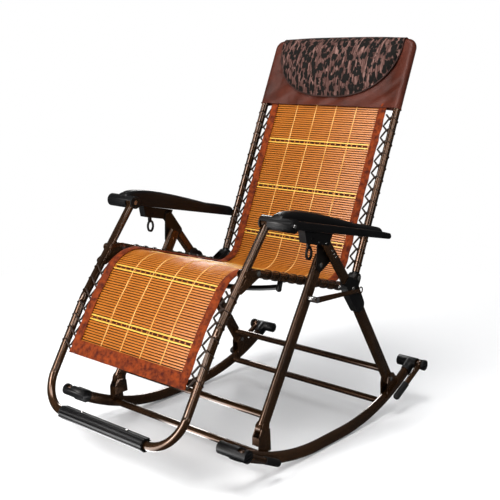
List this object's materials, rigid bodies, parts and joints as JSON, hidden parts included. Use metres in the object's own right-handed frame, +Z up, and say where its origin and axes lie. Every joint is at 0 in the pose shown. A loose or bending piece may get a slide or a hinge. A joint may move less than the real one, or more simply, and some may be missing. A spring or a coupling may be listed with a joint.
{
  "type": "folding rocking chair",
  "caption": "Reclining rocking chair of folding tube frame with laced slatted mat, armrests, padded headrest, footrest and flip-down rocker stops.",
  "frame": {"origin": "centre of the bounding box on the floor, under the rockers' level stretch", "axes": "+Z up, +Y towards the backrest, +X to the sitter's left-hand side seen from the front, right in the picture"},
  "size_m": [0.692, 1.0358, 1.1101],
  "materials": {
    "bronze_paint": "dark bronze-brown gloss powder coat",
    "black_steel": "black powder coat",
    "black_plastic": "satin black moulding",
    "black_rubber": "matt black rubber",
    "bright_steel": "bright zinc-plated steel",
    "bamboo_mat": "orange-brown carbonised bamboo slats with threads",
    "lacing_cord": "dark elastic cord",
    "cover_fabric": "brown satin polyester",
    "pillow_fabric": "dark brown printed fabric"
  },
  "bodies": {
    "leg_frame": {"rear_leg_left": "bronze_paint", "rear_leg_right": "bronze_paint", "rear_strut_left": "bronze_paint", "rear_strut_right": "bronze_paint", "knee_sleeves": "black_plastic", "upper_rear_bar": "bronze_paint", "lock_housing_left": "black_plastic", "lock_housing_right": "black_plastic", "gusset_plates": "black_steel", "lock_rivets": "bright_steel", "frame_bolts": "bright_steel"},
    "rocker_base": {"rocker_left": "bronze_paint", "rocker_right": "bronze_paint", "rocker_caps_front": "black_plastic", "rocker_caps_rear": "black_plastic", "lower_front_bar": "bronze_paint", "lower_rear_bar": "bronze_paint", "front_foot_brackets": "bronze_paint", "rear_foot_brackets": "bronze_paint"},
    "front_legs": {"front_leg_left": "bronze_paint", "front_leg_right": "bronze_paint", "upper_front_bar": "bronze_paint", "brace_bolts": "bright_steel"},
    "brace_left": {"brace_link_left": "bronze_paint"},
    "brace_right": {"brace_link_right": "bronze_paint"},
    "seat_frame": {"seat_rail_left": "bronze_paint", "seat_rail_right": "bronze_paint", "seat_cross_bar": "black_steel", "back_brackets": "black_steel", "seat_front_bolts": "bright_steel", "seat_mat": "bamboo_mat", "seat_lacing": "lacing_cord"},
    "backrest": {"back_tube": "bronze_paint", "back_cups": "black_plastic", "back_hinge_bolts": "bright_steel", "arm_rear_bolts": "bright_steel", "back_mat": "bamboo_mat", "back_lacing": "lacing_cord", "headrest_cover": "cover_fabric", "headrest_pillow": "pillow_fabric"},
    "footrest": {"footrest_tube": "bronze_paint", "footrest_gussets": "bronze_paint", "arm_front_bolts": "bright_steel", "foot_cover": "black_plastic", "foot_screws": "bright_steel", "leg_mat": "bamboo_mat", "leg_lacing": "lacing_cord"},
    "arm_left": {"armrest_left": "black_plastic"},
    "arm_right": {"armrest_right": "black_plastic"},
    "lock_lever_left": {"lock_lever_left": "black_plastic"},
    "lock_lever_right": {"lock_lever_right": "black_plastic"},
    "stop_leg_front_left": {"stop_tube_front_left": "bronze_paint", "stop_tip_front_left": "black_rubber"},
    "stop_leg_front_right": {"stop_tube_front_right": "bronze_paint", "stop_tip_front_right": "black_rubber"},
    "stop_leg_rear_left": {"stop_tube_rear_left": "bronze_paint", "stop_tip_rear_left": "black_rubber"},
    "stop_leg_rear_right": {"stop_tube_rear_right": "bronze_paint", "stop_tip_rear_right": "black_rubber"}
  },
  "joints": [
    {"name": "base_fold", "type": "hinge", "parent": "leg_frame", "child": "rocker_base", "pos_m": [0, 0.342, 0.112], "axis": [-1, 0, 0], "range_deg": [0, 30]},
    {"name": "front_leg_fold", "type": "hinge", "parent": "leg_frame", "child": "front_legs", "pos_m": [0, 0.013, 0.512], "axis": [1, 0, 0], "range_deg": [0, 50.1]},
    {"name": "brace_left_swing", "type": "hinge", "parent": "front_legs", "child": "brace_left", "pos_m": [-0.3108, -0.03421, 0.43071], "axis": [-1, 0, 0], "range_deg": [0, 50.1]},
    {"name": "brace_right_swing", "type": "hinge", "parent": "front_legs", "child": "brace_right", "pos_m": [0.3108, -0.03421, 0.43071], "axis": [-1, 0, 0], "range_deg": [0, 50.1]},
    {"name": "seat_tilt", "type": "hinge", "parent": "leg_frame", "child": "seat_frame", "pos_m": [0, 0.13432, 0.42744], "axis": [-1, 0, 0], "range_deg": [0, 11.5]},
    {"name": "back_recline", "type": "hinge", "parent": "seat_frame", "child": "backrest", "pos_m": [0, 0.22359, 0.43439], "axis": [-1, 0, 0], "range_deg": [0, 30]},
    {"name": "footrest_lift", "type": "hinge", "parent": "seat_frame", "child": "footrest", "pos_m": [0, -0.214, 0.526], "axis": [-1, 0, 0], "range_deg": [0, 30]},
    {"name": "arm_left_swing", "type": "hinge", "parent": "backrest", "child": "arm_left", "pos_m": [-0.29, 0.2746, 0.55342], "axis": [1, 0, 0], "range_deg": [0, 30]},
    {"name": "arm_right_swing", "type": "hinge", "parent": "backrest", "child": "arm_right", "pos_m": [0.29, 0.2746, 0.55342], "axis": [1, 0, 0], "range_deg": [0, 30]},
    {"name": "stop_leg_front_left_swing", "type": "hinge", "parent": "rocker_base", "child": "stop_leg_front_left", "pos_m": [-0.328, -0.34442, 0.11507], "axis": [1, 0, 0], "range_deg": [-18, 120]},
    {"name": "stop_leg_rear_left_swing", "type": "hinge", "parent": "rocker_base", "child": "stop_leg_rear_left", "pos_m": [-0.328, 0.47536, 0.12617], "axis": [-1, 0, 0], "range_deg": [-18, 120]},
    {"name": "stop_leg_front_right_swing", "type": "hinge", "parent": "rocker_base", "child": "stop_leg_front_right", "pos_m": [0.328, -0.34442, 0.11507], "axis": [1, 0, 0], "range_deg": [-18, 120]},
    {"name": "stop_leg_rear_right_swing", "type": "hinge", "parent": "rocker_base", "child": "stop_leg_rear_right", "pos_m": [0.328, 0.47536, 0.12617], "axis": [-1, 0, 0], "range_deg": [-18, 120]},
    {"name": "lock_lever_left_pull", "type": "hinge", "parent": "leg_frame", "child": "lock_lever_left", "pos_m": [-0.296, -0.05616, 0.59406], "axis": [-1, 0, 0], "range_deg": [0, 35]},
    {"name": "lock_lever_right_pull", "type": "hinge", "parent": "leg_frame", "child": "lock_lever_right", "pos_m": [0.296, -0.05616, 0.59406], "axis": [-1, 0, 0], "range_deg": [0, 35]}
  ],
  "couplings": [
    {"joint": "front_leg_fold", "follows": "base_fold", "ratio": 1.6667},
    {"joint": "brace_left_swing", "follows": "base_fold", "ratio": 1.6667},
    {"joint": "brace_right_swing", "follows": "base_fold", "ratio": 1.6667},
    {"joint": "seat_tilt", "follows": "back_recline", "ratio": 0.38},
    {"joint": "footrest_lift", "follows": "back_recline", "ratio": 1},
    {"joint": "arm_left_swing", "follows": "back_recline", "ratio": 1},
    {"joint": "arm_right_swing", "follows": "back_recline", "ratio": 1}
  ]
}
